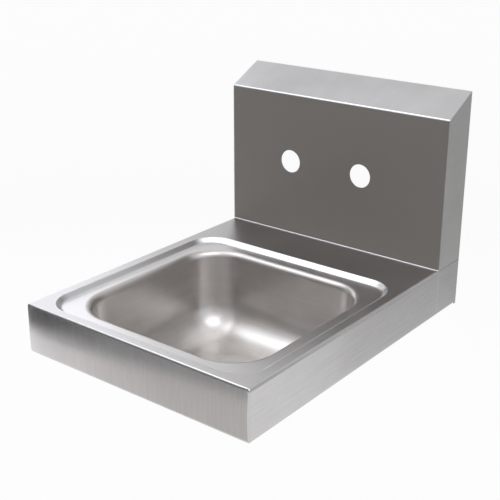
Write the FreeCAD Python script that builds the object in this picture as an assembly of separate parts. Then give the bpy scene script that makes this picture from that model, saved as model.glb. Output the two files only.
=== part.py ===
import FreeCAD, Part
import math
import os

# Wall-hung hand basin in bent and drawn stainless sheet, with its wall bracket and
# its drain. Millimetres. X runs along the wall to the viewer's right, +Y points into
# the wall and +Z up. The origin is on the wall, midway between the two bracket screws.

# Sheet body, outside sizes
width = 304.8
deck_depth = 355.6
splash_depth = 50.8
splash_front_height = 177.8
splash_wall_height = 203.2
apron_height = 57.15
sheet = 1.0
bend_radius = 2.5
splash_bend_radius = 2.0
cove_radius = 3.0
return_flange = 12.7
splash_lip = 25.4
end_flange = 12.7
end_flange_clearance = 1.0
bend_relief = 6.0
seat_gap = 0.3

# Height of the bracket screws above the deck, which sets the origin
screw_line_height = 158.75

# Stepped recess that the bowl's ledge lies in
recess_side = 14.9
recess_length = 272.5
recess_front = 13.5
recess_corner = 32.0
recess_run = 3.0
recess_depth = 5.5
recess_edge_radius = 1.6

# Drawn bowl
ledge = 11.0
rim_radius = 8.0
bowl_depth = 104.0
bowl_corner = 46.0
bowl_draft = 4.0
floor_radius = 42.0
floor_fall = 3.0
floor_fall_radius = 64.0
drain_seat_radius = 38.0
drain_seat_depth = 3.5
drain_hole_radius = 25.4

# Tap holes in the splash
tap_hole_spacing = 101.6
tap_hole_radius = 14.3
tap_hole_height = 93.4
tap_hole_offset = -11.0

# Anchor flange in each lower rear corner
anchor_flange = 25.4
anchor_hole_radius = 3.5
anchor_hole_drop = 28.6

# Wall bracket, a strip of plated steel with a joggle
bracket_end_gap = 12.7
bracket_sheet = 1.5
bracket_slot = 1.3
bracket_rise = 4.0
bracket_upper_leg = 17.0
bracket_below_screws = 13.0
bracket_bend_radius = 2.0
screw_margin = 25.4
screw_hole_radius = 2.8

# Bracket screws and washers
screw_radius = 2.4
screw_neck_radius = 2.0
screw_reach = 25.0
screw_point = 5.0
screw_head_radius = 4.9
screw_head_height = 3.0
screw_head_edge = 0.8
driver_slot_length = 5.4
driver_slot_width = 1.1
driver_slot_depth = 1.6
washer_radius = 6.5
washer_thickness = 1.0
washer_clearance = 0.2

# Drain body and what clamps it
flange_radius = 35.0
flange_edge = 1.6
flange_dish = 0.8
seal_thickness = 0.8
seal_margin = 0.6
cup_rim_seat_radius = 23.8
cup_rim_seat_depth = 1.2
shank_radius = 24.1
shank_length = 41.0
throat_radius = 21.5
stopper_seat_depth = 15.2
outlet_radius = 17.5
thread_clearance = 0.05
ring_clearance = 0.3
gasket_radius = 36.0
gasket_thickness = 3.0
friction_washer_radius = 35.0
friction_washer_thickness = 1.0
locknut_flats = 66.0
locknut_height = 9.0
locknut_sides = 8
relief_depth = 0.8
relief_width = 1.5
relief_offset = 1.0

# Lift-out strainer
cup_sheet = 0.8
cup_rim_radius = 23.4
cup_radius = 20.4
cup_floor_radius = 18.9
cup_bend_radius = 2.0
cup_hole_radius = 1.6
cup_ring_count = 3
cup_holes_per_ring_count = 6
cup_first_ring = 7.8
cup_ring_step = 4.2
post_radius = 3.0
post_end = 6.5
knob_radius = 7.5
knob_height = 5.0
knob_neck = 3.5
knob_edge_radius = 1.2
post_clearance = 0.05
stopper_radius = 19.6
stopper_thickness = 2.2
post_nut_flats = 9.0
post_nut_height = 3.0
post_nut_sides = 6

# How far cutting tools run past a face, and how near two places count as one
overrun = 5.0
near = 0.05

# Places that follow from the sizes above
half_width = width / 2
recess_width = width - 2 * recess_side
bracket_width = width - 2 * (end_flange + bracket_end_gap)
screw_spacing = bracket_width - 2 * screw_margin
anchor_hole_x = half_width - anchor_flange / 2
deck_z = -screw_line_height
apron_bottom_z = deck_z - apron_height
splash_face_y = -splash_depth
front_y = -splash_depth - deck_depth
cove_start_y = splash_face_y - cove_radius
recess_centre_y = front_y + recess_front + recess_length / 2
ledge_z = deck_z - recess_depth
floor_z = deck_z - bowl_depth
drain_rim_z = floor_z - floor_fall
drain_seat_z = drain_rim_z - drain_seat_depth
flange_bottom_z = drain_seat_z + seal_thickness
flange_inner_z = flange_bottom_z + flange_edge
cup_seat_z = flange_inner_z - cup_rim_seat_depth
stopper_seat_z = flange_inner_z - stopper_seat_depth
shank_bottom_z = flange_bottom_z - shank_length
bowl_underside_z = drain_seat_z - sheet
gasket_bottom_z = bowl_underside_z - gasket_thickness
washer_bottom_z = gasket_bottom_z - friction_washer_thickness
locknut_bottom_z = washer_bottom_z - locknut_height
cup_underside_z = stopper_seat_z + seat_gap + stopper_thickness
cup_top_z = cup_seat_z + seat_gap + cup_sheet
lip_bottom_z = deck_z + splash_wall_height - splash_lip


def vec(x, y, z):
    return FreeCAD.Vector(x, y, z)


def box(x0, x1, y0, y1, z0, z1):
    return Part.makeBox(x1 - x0, y1 - y0, z1 - z0, vec(x0, y0, z0))


def mirrored(shape):
    """The same piece for the other side of the centre plane."""
    return shape.mirror(vec(0, 0, 0), vec(1, 0, 0))


def rounded_path(points, radii):
    """Edges through the points, with the corner at each inner point rounded."""
    edges = []
    start = points[0]
    for corner, after, radius in zip(points[1:-1], points[2:], radii):
        back = (start - corner).normalize()
        ahead = (after - corner).normalize()
        half_angle = back.getAngle(ahead) / 2
        reach = radius / math.tan(half_angle)
        bisector = (back + ahead).normalize()
        middle = corner + bisector * (radius / math.sin(half_angle) - radius)
        edges.append(Part.makeLine(start, corner + back * reach))
        edges.append(Part.Arc(corner + back * reach, middle, corner + ahead * reach).toShape())
        start = corner + ahead * reach
    edges.append(Part.makeLine(start, points[-1]))
    return edges


def bent_sheet(points, radii, thickness, x0, x1):
    """A bent strip: the skin's (y, z) path, thickened on its right-hand side."""
    skin = [vec(x0, y, z) for y, z in points]
    normals = []
    for a, b in zip(skin[:-1], skin[1:]):
        along = (b - a).normalize()
        normals.append(vec(0, along.z, -along.y))
    back = [skin[0] + normals[0] * thickness]
    back_radii = []
    for index, radius in enumerate(radii):
        first = normals[index]
        second = normals[index + 1]
        mitre = (first + second) * (thickness / (1 + first.dot(second)))
        back.append(skin[index + 1] + mitre)
        back_radii.append(bent_radius(first, second, radius, thickness))
    back.append(skin[-1] + normals[-1] * thickness)
    edges = rounded_path(skin, radii)
    edges.append(Part.makeLine(skin[-1], back[-1]))
    edges.extend(reversed(rounded_path(back, back_radii)))
    edges.append(Part.makeLine(back[0], skin[0]))
    wire = Part.Wire(Part.__sortEdges__(edges))
    return Part.Face(wire).extrude(vec(x1 - x0, 0, 0))


def bent_radius(first, second, radius, thickness):
    """Radius on the far side of the sheet at a bend between two straight runs."""
    turn = first.cross(second).x
    return radius - thickness if turn < 0 else radius + thickness


def rounded_rectangle(half_x, half_y, radius, centre_y, z):
    """A closed wire in a level plane, centred on x = 0."""
    left = -half_x
    right = half_x
    front = centre_y - half_y
    back = centre_y + half_y
    diagonal = radius * (1 - math.sqrt(0.5))
    edges = [
        Part.makeLine(vec(left + radius, front, z), vec(right - radius, front, z)),
        Part.Arc(vec(right - radius, front, z), vec(right - diagonal, front + diagonal, z),
                 vec(right, front + radius, z)).toShape(),
        Part.makeLine(vec(right, front + radius, z), vec(right, back - radius, z)),
        Part.Arc(vec(right, back - radius, z), vec(right - diagonal, back - diagonal, z),
                 vec(right - radius, back, z)).toShape(),
        Part.makeLine(vec(right - radius, back, z), vec(left + radius, back, z)),
        Part.Arc(vec(left + radius, back, z), vec(left + diagonal, back - diagonal, z),
                 vec(left, back - radius, z)).toShape(),
        Part.makeLine(vec(left, back - radius, z), vec(left, front + radius, z)),
        Part.Arc(vec(left, front + radius, z), vec(left + diagonal, front + diagonal, z),
                 vec(left + radius, front, z)).toShape(),
    ]
    return Part.Wire(edges)


def tapered(top, bottom):
    """A solid between two level rounded rectangles."""
    return Part.makeLoft([top, bottom], True, True)


def level_edges(shape, z, inset):
    """Edges in the plane z that lie inside the recess's top outline drawn in by inset."""
    found = []
    for edge in shape.Edges:
        bounds = edge.BoundBox
        level = abs(bounds.ZMin - z) < near and abs(bounds.ZMax - z) < near
        reach_x = max(abs(bounds.XMin), abs(bounds.XMax))
        reach_y = max(abs(bounds.YMin - recess_centre_y), abs(bounds.YMax - recess_centre_y))
        inside = reach_x < recess_width / 2 - inset and reach_y < recess_length / 2 - inset
        if level and inside:
            found.append(edge)
    return found


def turned(profile):
    """A ring or shaft turned about the drain's axis from its (radius, z) outline."""
    points = [vec(r, recess_centre_y, z) for r, z in profile]
    face = Part.Face(Part.makePolygon(points + [points[0]]))
    return face.revolve(vec(0, recess_centre_y, 0), vec(0, 0, 1), 360)


def nut(sides, flats, z0, z1):
    """A prism with flats about the drain's axis."""
    reach = flats / 2 / math.cos(math.pi / sides)
    points = []
    for index in range(sides + 1):
        angle = 2 * math.pi * (index + 0.5) / sides
        points.append(vec(reach * math.cos(angle), recess_centre_y + reach * math.sin(angle), z0))
    return Part.Face(Part.makePolygon(points)).extrude(vec(0, 0, z1 - z0))


def drain_cylinder(radius, z0, z1):
    return Part.makeCylinder(radius, z1 - z0, vec(0, recess_centre_y, z0))


def pan_block(inset, back_y):
    """The block inside the deck and aprons, drawn in from the outside faces."""
    half = half_width - inset
    block = box(-half, half, front_y + inset, back_y, apron_bottom_z + inset, deck_z - inset)
    outer = [e for e in block.Edges if e.BoundBox.YMin < back_y - overrun / 2]
    return block.makeFillet(bend_radius - inset, outer)


def recess_block(grow, top_z, bottom_z):
    """The tapered space of the recess, grown outwards, between two levels."""
    slope = recess_run / recess_depth
    wires = []
    for z in (top_z, bottom_z):
        draw_in = slope * (deck_z - z) - grow
        wires.append(rounded_rectangle(recess_width / 2 - draw_in, recess_length / 2 - draw_in,
                                       recess_corner - draw_in, recess_centre_y, z))
    return tapered(wires[0], wires[1])


def deck_pan():
    """Deck, stepped recess and three aprons, bent from one sheet."""
    back_y = splash_face_y + overrun
    pan = pan_block(0, back_y).cut(pan_block(sheet, back_y + overrun))
    pan = pan.cut(box(-half_width + return_flange, half_width - return_flange,
                      front_y + return_flange, back_y + overrun,
                      apron_bottom_z - overrun, apron_bottom_z + sheet + overrun))
    pan = pan.cut(box(-half_width - overrun, half_width + overrun, splash_face_y, back_y + overrun,
                      apron_bottom_z - overrun, deck_z + overrun))
    inner = half_width - sheet
    pan = pan.cut(box(-inner, inner, cove_start_y, splash_face_y + overrun,
                      deck_z - bend_radius, deck_z + overrun))
    skirt_wall = sheet * math.hypot(recess_run, recess_depth) / recess_depth
    foot_z = ledge_z - sheet
    pan = pan.fuse(recess_block(skirt_wall, deck_z, foot_z))
    hollow = recess_block(0, deck_z, ledge_z)
    foot = Part.Face(recess_foot(ledge_z)).extrude(vec(0, 0, foot_z - ledge_z))
    pan = pan.cut(hollow.fuse(foot))
    pan = pan.removeSplitter()
    rim = level_edges(pan, deck_z, -sheet)
    return pan.makeFillet(min(recess_edge_radius, 2 * sheet), rim)


def recess_foot(z):
    """Outline of the recess's foot, where the bowl's flange is welded in."""
    return rounded_rectangle(recess_width / 2 - recess_run, recess_length / 2 - recess_run,
                             recess_corner - recess_run, recess_centre_y, z)


def bowl_block(grow):
    """The bowl's inside, or its outside when grown by the sheet."""
    draw_in = recess_run + ledge + rim_radius - grow
    half_x = recess_width / 2 - draw_in
    half_y = recess_length / 2 - draw_in
    top = rounded_rectangle(half_x, half_y, bowl_corner + grow, recess_centre_y, ledge_z)
    bottom = rounded_rectangle(half_x - bowl_draft, half_y - bowl_draft, bowl_corner + grow,
                               recess_centre_y, floor_z - grow)
    block = tapered(top, bottom)
    floor_edges = level_edges(block, floor_z - grow, 0)
    block = block.makeFillet(floor_radius + grow, floor_edges)
    fall = turned(((0, floor_z - grow + floor_fall), (floor_fall_radius, floor_z - grow + floor_fall),
                   (floor_fall_radius, floor_z - grow), (drain_seat_radius + grow, drain_rim_z - grow),
                   (drain_seat_radius + grow, drain_seat_z - grow), (0, drain_seat_z - grow)))
    return block.fuse(fall).removeSplitter()


def sink_bowl():
    """Drawn bowl with its ledge flange and the sunk seat for the drain."""
    flange = Part.Face(recess_foot(ledge_z)).extrude(vec(0, 0, -sheet))
    bowl = flange.fuse(bowl_block(sheet)).removeSplitter()
    neck = level_edges(bowl, ledge_z - sheet, ledge)
    bowl = bowl.makeFillet(rim_radius - sheet, neck)
    bowl = bowl.cut(bowl_block(0))
    mouth = level_edges(bowl, ledge_z, ledge)
    bowl = bowl.makeFillet(rim_radius, mouth)
    hole = drain_cylinder(drain_hole_radius, drain_seat_z - sheet - overrun, drain_seat_z + overrun)
    return bowl.cut(hole)


def splash_points():
    """Skin of the splash from the deck, up its face, back over its top and down the wall."""
    front_top = (splash_face_y, deck_z + splash_front_height)
    wall_top = (0, deck_z + splash_wall_height)
    return front_top, wall_top


def backsplash():
    """Cove, face, sloped top and hanging lip, bent from one sheet."""
    front_top, wall_top = splash_points()
    points = ((cove_start_y - cove_radius, deck_z), (splash_face_y, deck_z), front_top, wall_top,
              (0, lip_bottom_z))
    inner = half_width - sheet
    radii = (cove_radius, splash_bend_radius, splash_bend_radius)
    splash = bent_sheet(points, radii, sheet, -inner, inner)
    splash = splash.cut(box(-half_width, half_width, front_y, cove_start_y,
                            deck_z - overrun, deck_z + overrun))
    for end in (-half_width, half_width - bend_radius):
        splash = splash.cut(box(end, end + bend_radius, -bend_radius, overrun, lip_bottom_z - overrun,
                                deck_z + splash_wall_height + overrun))
    for side in (-1, 1):
        centre = vec(tap_hole_offset + side * tap_hole_spacing / 2, splash_face_y - overrun,
                     deck_z + tap_hole_height)
        splash = splash.cut(Part.makeCylinder(tap_hole_radius, sheet + 2 * overrun, centre,
                                              vec(0, 1, 0)))
    return splash


def wall_angle(side_front_y, flange, bottom_z, top_z):
    """Upright angle at the right: a side plate bent round into a flange on the wall."""
    inner = half_width - sheet
    side = box(half_width - flange, half_width, side_front_y, 0, bottom_z, top_z)
    side = side.makeFillet(bend_radius, upright_edges(side, half_width, 0))
    hollow = box(half_width - flange - overrun, inner, side_front_y - overrun, -sheet,
                 bottom_z - overrun, top_z + overrun)
    hollow = hollow.makeFillet(bend_radius - sheet, upright_edges(hollow, inner, -sheet))
    return side.cut(hollow)


def upright_edges(shape, x, y):
    """Vertical edges at one place in plan."""
    found = []
    for edge in shape.Edges:
        bounds = edge.BoundBox
        upright = bounds.XLength < near and bounds.YLength < near
        if upright and abs(bounds.XMin - x) < near * 2 and abs(bounds.YMin - y) < near * 2:
            found.append(edge)
    return found


def splash_end():
    """Right-hand end of the splash, bent round into a flange against the wall."""
    front_top, wall_top = splash_points()
    start = half_width - end_flange - overrun
    corners = [vec(start, y, z) for y, z in
               ((0, deck_z), (splash_face_y, deck_z), front_top, wall_top, (0, deck_z))]
    edges = rounded_path(corners[1:], (splash_bend_radius, splash_bend_radius))
    edges.append(Part.makeLine(corners[0], corners[1]))
    outline = Part.Face(Part.Wire(Part.__sortEdges__(edges)))
    outline = outline.extrude(vec(end_flange + 2 * overrun, 0, 0))
    end = wall_angle(splash_face_y, end_flange, deck_z, deck_z + splash_wall_height)
    end = end.common(outline)
    return end.cut(box(0, half_width - bend_radius, splash_face_y, overrun,
                       lip_bottom_z - end_flange_clearance, deck_z + splash_wall_height + overrun))


def foot_angle(front, back):
    """Level angle at the right: the side plate bent in along its lower edge."""
    inner = half_width - sheet
    side = box(half_width - return_flange, half_width, front, back, apron_bottom_z, deck_z)
    side = side.makeFillet(bend_radius, foot_edges(side, half_width, apron_bottom_z))
    hollow = box(half_width - return_flange - overrun, inner, front - overrun, back + overrun,
                 apron_bottom_z + sheet, deck_z + overrun)
    hollow = hollow.makeFillet(bend_radius - sheet, foot_edges(hollow, inner, apron_bottom_z + sheet))
    return side.cut(hollow)


def rear_corner():
    """Lower right-hand corner behind the splash, bent in at the foot and at the wall."""
    upright = wall_angle(-bend_relief, anchor_flange, apron_bottom_z, deck_z)
    upright = upright.cut(box(0, half_width - bend_radius, -bend_relief, overrun,
                              deck_z - end_flange_clearance, deck_z + overrun))
    corner = upright.fuse(foot_angle(splash_face_y, -bend_relief)).removeSplitter()
    hole = Part.makeCylinder(anchor_hole_radius, sheet + 2 * overrun,
                             vec(anchor_hole_x, -sheet - overrun, deck_z - anchor_hole_drop),
                             vec(0, 1, 0))
    return corner.cut(hole)


def foot_edges(shape, x, z):
    """Level edges that run back along the side at one place in x and z."""
    found = []
    for edge in shape.Edges:
        bounds = edge.BoundBox
        level = bounds.XLength < near and bounds.ZLength < near and bounds.YLength > sheet
        if level and abs(bounds.XMin - x) < near * 2 and abs(bounds.ZMin - z) < near * 2:
            found.append(edge)
    return found


def bracket_points():
    """Skin of the bracket's front side, from its lower edge to the top of its upper leg."""
    shoulder_z = lip_bottom_z - seat_gap - bracket_rise
    wall_leg_y = -bracket_sheet
    upper_leg_y = wall_leg_y - bracket_slot
    return (
        (wall_leg_y, -bracket_below_screws),
        (wall_leg_y, shoulder_z),
        (upper_leg_y, shoulder_z + bracket_rise),
        (upper_leg_y, shoulder_z + bracket_rise + bracket_upper_leg),
    )


def wall_bracket():
    """Strip whose upper leg stands off the wall and holds the splash's lip."""
    half = bracket_width / 2
    radii = (bracket_bend_radius, bracket_bend_radius)
    bracket = bent_sheet(bracket_points(), radii, bracket_sheet, -half, half)
    for x in screw_places():
        hole = Part.makeCylinder(screw_hole_radius, bracket_sheet + 2 * overrun,
                                 vec(x, -bracket_sheet - overrun, 0), vec(0, 1, 0))
        bracket = bracket.cut(hole)
    return bracket


def screw_places():
    return (-screw_spacing / 2, screw_spacing / 2)


def bracket_screw(x):
    """Pan-head screw with a cross slot and a thin neck, its threaded shank in the wall."""
    head_y = -bracket_sheet - washer_thickness
    head = Part.makeCylinder(screw_head_radius, screw_head_height, vec(x, head_y, 0), vec(0, -1, 0))
    outer = [e for e in head.Edges if abs(e.BoundBox.YMax - (head_y - screw_head_height)) < near]
    head = head.makeFillet(screw_head_edge, outer)
    shank_end = screw_reach - screw_point
    neck = Part.makeCylinder(screw_neck_radius, -head_y, vec(x, head_y, 0), vec(0, 1, 0))
    shank = Part.makeCylinder(screw_radius, shank_end, vec(x, 0, 0), vec(0, 1, 0))
    point = Part.makeCone(screw_radius, 0, screw_point, vec(x, shank_end, 0), vec(0, 1, 0))
    screw = head.fuse([neck, shank, point]).removeSplitter()
    face_y = head_y - screw_head_height
    long_half = driver_slot_length / 2
    short_half = driver_slot_width / 2
    for half_x, half_z in ((long_half, short_half), (short_half, long_half)):
        screw = screw.cut(box(x - half_x, x + half_x, face_y - overrun, face_y + driver_slot_depth,
                              -half_z, half_z))
    return screw


def bracket_washer(x):
    start = vec(x, -bracket_sheet, 0)
    disc = Part.makeCylinder(washer_radius, washer_thickness, start, vec(0, -1, 0))
    return disc.cut(Part.makeCylinder(screw_radius + washer_clearance, washer_thickness, start,
                                      vec(0, -1, 0)))


def drain_body():
    """Flanged and threaded tube through the bowl, with the seats for cup and stopper."""
    relief_top_z = locknut_bottom_z - relief_offset
    relief_bottom_z = relief_top_z - relief_width
    outline = (
        (outlet_radius, shank_bottom_z),
        (shank_radius, shank_bottom_z),
        (shank_radius, relief_bottom_z),
        (shank_radius - relief_depth, relief_bottom_z),
        (shank_radius - relief_depth, relief_top_z),
        (shank_radius, relief_top_z),
        (shank_radius, flange_bottom_z),
        (flange_radius, flange_bottom_z),
        (flange_radius, flange_bottom_z + flange_edge),
        (cup_rim_seat_radius + flange_edge, flange_bottom_z + flange_edge + flange_dish),
        (cup_rim_seat_radius, flange_inner_z),
        (cup_rim_seat_radius, cup_seat_z),
        (throat_radius, cup_seat_z),
        (throat_radius, stopper_seat_z),
        (outlet_radius, stopper_seat_z),
    )
    return turned(outline)


def ring(inner, outer, z0, z1):
    return drain_cylinder(outer, z0, z1).cut(drain_cylinder(inner, z0, z1))


def flange_seal():
    return ring(drain_hole_radius, flange_radius - seal_margin, drain_seat_z, flange_bottom_z)


def body_gasket():
    return ring(shank_radius + ring_clearance, gasket_radius, gasket_bottom_z, bowl_underside_z)


def friction_washer():
    return ring(shank_radius + ring_clearance, friction_washer_radius, washer_bottom_z,
                gasket_bottom_z)


def locknut():
    body = nut(locknut_sides, locknut_flats, locknut_bottom_z, washer_bottom_z)
    return body.cut(drain_cylinder(shank_radius + thread_clearance,
                                   locknut_bottom_z - overrun, washer_bottom_z + overrun))


def strainer_cup():
    """Pressed cup with a turned-out rim and rings of holes in its floor."""
    rim_z = cup_top_z - cup_sheet
    cup = turned((
        (0, cup_underside_z),
        (cup_floor_radius, cup_underside_z),
        (cup_radius, cup_underside_z + cup_bend_radius),
        (cup_radius, rim_z),
        (cup_rim_radius, rim_z),
        (cup_rim_radius, cup_top_z),
        (cup_radius - cup_sheet, cup_top_z),
        (cup_radius - cup_sheet, cup_underside_z + cup_bend_radius + cup_sheet / 2),
        (cup_floor_radius - cup_sheet / 2, cup_underside_z + cup_sheet),
        (0, cup_underside_z + cup_sheet),
    ))
    low = cup_underside_z - overrun
    high = cup_underside_z + cup_sheet + overrun
    tools = [drain_cylinder(post_radius + post_clearance, low, high)]
    for ring_index in range(cup_ring_count):
        radius = cup_first_ring + ring_index * cup_ring_step
        count = cup_holes_per_ring_count * (ring_index + 1)
        for index in range(count):
            angle = 2 * math.pi * index / count
            centre = vec(radius * math.cos(angle), recess_centre_y + radius * math.sin(angle), low)
            tools.append(Part.makeCylinder(cup_hole_radius, high - low, centre))
    return cup.cut(tools)


def strainer_post():
    """Turned post with the finger knob above the cup's floor."""
    knob_bottom_z = cup_top_z + knob_neck
    knob_top_z = knob_bottom_z + knob_height
    post_bottom_z = cup_underside_z - stopper_thickness - post_end
    shoulder_z = cup_underside_z + cup_sheet
    return turned((
        (0, post_bottom_z),
        (post_radius, post_bottom_z),
        (post_radius, shoulder_z),
        (post_radius + knob_edge_radius, shoulder_z),
        (post_radius + knob_edge_radius, knob_bottom_z - knob_edge_radius),
        (knob_radius - knob_edge_radius, knob_bottom_z),
        (knob_radius, knob_bottom_z + knob_edge_radius),
        (knob_radius, knob_top_z - knob_edge_radius),
        (knob_radius - knob_edge_radius, knob_top_z),
        (0, knob_top_z),
    ))


def stopper_washer():
    return ring(post_radius + post_clearance, stopper_radius,
                cup_underside_z - stopper_thickness, cup_underside_z)


def post_nut():
    top_z = cup_underside_z - stopper_thickness
    body = nut(post_nut_sides, post_nut_flats, top_z - post_nut_height, top_z)
    return body.cut(drain_cylinder(post_radius + post_clearance,
                                   top_z - post_nut_height - overrun, top_z + overrun))


def build_nodes():
    end_right = splash_end()
    corner_right = rear_corner()
    places = screw_places()
    return {
        "deck_pan": deck_pan(),
        "sink_bowl": sink_bowl(),
        "backsplash": backsplash(),
        "splash_end_right": end_right,
        "splash_end_left": mirrored(end_right),
        "rear_corner_right": corner_right,
        "rear_corner_left": mirrored(corner_right),
        "wall_bracket": wall_bracket(),
        "bracket_screws": Part.makeCompound([bracket_screw(x) for x in places]),
        "bracket_washers": Part.makeCompound([bracket_washer(x) for x in places]),
        "drain_body": drain_body(),
        "flange_seal": flange_seal(),
        "body_gasket": body_gasket(),
        "friction_washer": friction_washer(),
        "locknut": locknut(),
        "strainer_cup": strainer_cup(),
        "strainer_post": strainer_post(),
        "stopper_washer": stopper_washer(),
        "post_nut": post_nut(),
    }


os.makedirs("parts", exist_ok=True)
for name, shape in build_nodes().items():
    shape.exportStep("parts/" + name + ".step")
    print(name, "solids", len(shape.Solids), "volume", round(shape.Volume, 1),
          "valid", shape.isValid())
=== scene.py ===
# %% [markdown]
# # A steel hand basin for a wall
# This small basin is folded from thin stainless sheet: a deck with a pressed step and three
# aprons, a tall splash behind it, and a drawn bowl welded into the step. The exact solids
# come from a measured model, and this file gives them their finish and the softer shapes
# that sheet metal really has. Everything is in metres, with the wall at y = 0 and z up.

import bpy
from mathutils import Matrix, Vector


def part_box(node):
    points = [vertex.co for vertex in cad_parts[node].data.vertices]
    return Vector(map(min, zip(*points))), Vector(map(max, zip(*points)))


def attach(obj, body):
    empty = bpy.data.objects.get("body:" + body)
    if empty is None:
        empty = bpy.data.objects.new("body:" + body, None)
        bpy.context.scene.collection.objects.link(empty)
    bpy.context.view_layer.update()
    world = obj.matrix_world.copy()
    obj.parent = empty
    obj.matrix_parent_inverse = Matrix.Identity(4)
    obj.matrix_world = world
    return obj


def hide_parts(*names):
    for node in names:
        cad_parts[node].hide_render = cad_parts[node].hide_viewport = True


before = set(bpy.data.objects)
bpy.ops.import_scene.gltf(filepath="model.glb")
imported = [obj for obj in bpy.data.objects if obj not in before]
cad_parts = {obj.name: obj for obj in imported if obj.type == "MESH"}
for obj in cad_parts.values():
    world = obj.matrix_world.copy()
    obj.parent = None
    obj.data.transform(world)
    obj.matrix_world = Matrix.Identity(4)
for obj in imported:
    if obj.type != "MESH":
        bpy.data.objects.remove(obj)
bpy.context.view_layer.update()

# %% [markdown]
# ## Sizes
# Most places are read from the loaded model, so the new sheets land on the old ones. The few
# sizes that a box can't give, such as the radius of a bend, are written here once.

# %% Read places from the model and name the rest
from math import atan, atan2, cos, hypot, inf, pi, radians, sin, sqrt, tan

import bmesh
import bpy
from mathutils import Vector

sheet = 0.001
cut_edge, end_edge = 0.0002, 0.00025
bend_radius = 0.0034
bend_steps = 8
wall_bend_radius = 0.0025
cove_radius = 0.0011
measured_cove_radius = 0.003
splash_bend_radius = 0.003
splash_wall_radius = 0.002
splash_front_height = 0.1778
splash_wall_height = 0.2032
lip_height = 0.0254
return_flange = 0.0127

deck_low, deck_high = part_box("deck_pan")
bowl_low, bowl_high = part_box("sink_bowl")
drain_low, drain_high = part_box("drain_body")
half_width = deck_high.x
front_y = deck_low.y
deck_z = deck_high.z
apron_bottom_z = deck_low.z
splash_face_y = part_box("backsplash")[0].y + measured_cove_radius
cove_start_y = splash_face_y - cove_radius
splash_front_top_z = deck_z + splash_front_height
splash_wall_top_z = deck_z + splash_wall_height
lip_bottom_z = splash_wall_top_z - lip_height
bowl_y = (bowl_low.y + bowl_high.y) / 2
print("width", round(2 * half_width, 4), "bowl centre", round(bowl_y, 5))

# %% [markdown]
# ## Rings of points
# A pressed recess or a drawn bowl is a stack of rounded squares that shrink on the way down.
# If every ring has the same number of points, the surface is made by joining each ring to
# the next. A spline surface could do it too, but rings keep the radii exact.

# %% Make one rounded ring
corner_steps = 18
side_steps = 16


def spread(first, last, count):
    """Values from first to last in equal steps, both ends included."""
    return [first + (last - first) * step / count for step in range(count + 1)]


def rounded_ring(half_x, front, back, radius, z):
    """Points round a level rounded rectangle, anticlockwise, closer together near corners."""
    corners = []
    for turn, (side, y) in enumerate(((1, front), (1, back), (-1, back), (-1, front))):
        inward = radius if y == front else -radius
        centre = Vector((side * (half_x - radius), y + inward, z))
        angles = spread((turn - 1) * pi / 2, turn * pi / 2, corner_steps)
        corners.append([centre + radius * Vector((cos(a), sin(a), 0)) for a in angles])
    points = []
    for arc, following in zip(corners, corners[1:] + corners[:1]):
        points.extend(arc)
        points.extend(arc[-1].lerp(following[0], (1 - cos(pi * step / side_steps)) / 2)
                      for step in range(1, side_steps))
    return points


print("points in a ring", len(rounded_ring(1, -1, 1, 0.1, 0)))

# %% [markdown]
# ## Joining rings, and the direction of the grain
# Brushed steel has a grain, and the shader has to know which way it runs. The map called
# grain holds real distances: its first number runs across the scratches and its second runs
# along them. Flat sheets take it from where they are, and a bowl takes it from its rings.

# %% Join rings into faces
def distances_along(points):
    total = [0.0]
    for a, b in zip(points, points[1:]):
        total.append(total[-1] + (b - a).length)
    return total


def join_rings(mesh, rings):
    """Faces between closed rings, mapped by the distance down the rings and round them."""
    layer = mesh.loops.layers.uv.verify()
    rows = [[mesh.verts.new(point) for point in ring] for ring in rings]
    count = len(rings[0])
    sampled = count // 8
    down = distances_along([ring[sampled] for ring in rings])
    around = distances_along(rings[0] + rings[0][:1])
    for row in range(len(rows) - 1):
        for i in range(count):
            j = (i + 1) % count
            face = mesh.faces.new((rows[row][i], rows[row][j], rows[row + 1][j], rows[row + 1][i]))
            places = ((row, i), (row, i + 1), (row + 1, i + 1), (row + 1, i))
            for loop, (r, k) in zip(face.loops, places):
                loop[layer].uv = (down[r], around[k])


def map_flat_grain(mesh):
    """Grain front to back on level sheet, up and down on front sheet, level on side sheet."""
    layer = mesh.loops.layers.uv.verify()
    mesh.normal_update()
    for face in mesh.faces:
        side, front, level = (abs(part) for part in face.normal)
        for loop in face.loops:
            x, y, z = loop.vert.co
            if side > max(front, level):
                loop[layer].uv = (z, y)
            elif front > level:
                loop[layer].uv = (x, z)
            else:
                loop[layer].uv = (x, y)


print("a step of 3 by 4 is", distances_along([Vector((0, 0)), Vector((3, 4))])[-1], "long")

# %% [markdown]
# ## From a skin to a sheet
# Each sheet piece is modelled as its outer skin only. A Solidify modifier gives the skin its
# real thickness, and a small Bevel then takes the sharpness off every cut edge, as deburring
# does in the workshop. It is that tiny radius that catches the light along a seam.

# %% Turn a skin into a finished sheet
merge_distance = 1e-6
sharp_angle = radians(50)
flat_face_weight = 60


def new_object(name, data):
    thing = bpy.data.objects.new(name, data)
    bpy.context.scene.collection.objects.link(thing)
    return thing


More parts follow.
